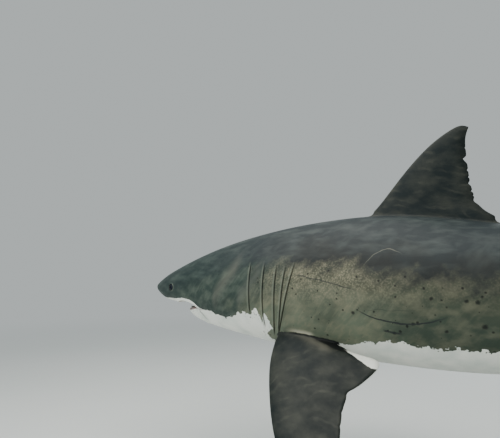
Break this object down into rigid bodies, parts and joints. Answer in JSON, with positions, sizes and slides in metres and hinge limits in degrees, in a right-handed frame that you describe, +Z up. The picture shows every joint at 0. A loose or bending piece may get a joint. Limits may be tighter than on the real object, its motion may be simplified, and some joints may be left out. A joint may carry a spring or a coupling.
{
  "type": "great white shark museum model",
  "caption": "Life-size model of a great white shark in a level, slightly banked glide with its mouth a little open, held over the floor on a plain flat base by short rods.",
  "frame": {"origin": "centre of the underside of the stand's base, on the floor", "axes": "head towards -X, tail towards +X, the shark's left side towards -Y, +Z up"},
  "size_m": [3.998, 1.7838, 1.7869],
  "materials": {
    "hide": "slate grey back, tan mottled flank and ragged-edged white belly, satin, fine grain",
    "throat": "white, satin, fine grain",
    "fin_hide": "dark slate grey, satin, fine grain",
    "eye": "black, wet gloss",
    "teeth": "ivory white, glossy",
    "mouth": "dull dark pink, wet",
    "stand_base": "matt black powder coat",
    "stand_foot": "matt black powder coat",
    "stand_rod": "brushed along its length"
  },
  "bodies": {
    "root": {"head": "hide", "gill_region": "hide", "trunk_front": "hide", "trunk_rear": "hide", "tail_stock": "hide", "lower_jaw": "throat", "dorsal_fin_first": "fin_hide", "dorsal_fin_second": "fin_hide", "anal_fin": "fin_hide", "pectoral_fin_left": "fin_hide", "pectoral_fin_right": "fin_hide", "pelvic_fin_left": "fin_hide", "pelvic_fin_right": "fin_hide", "caudal_fin_upper": "fin_hide", "caudal_fin_lower": "fin_hide", "eye_left": "eye", "eye_right": "eye", "stand_base": "stand_base", "stand_foot_front": "stand_foot", "stand_foot_rear": "stand_foot", "stand_rod_front": "stand_rod", "stand_rod_rear": "stand_rod"}
  },
  "joints": []
}
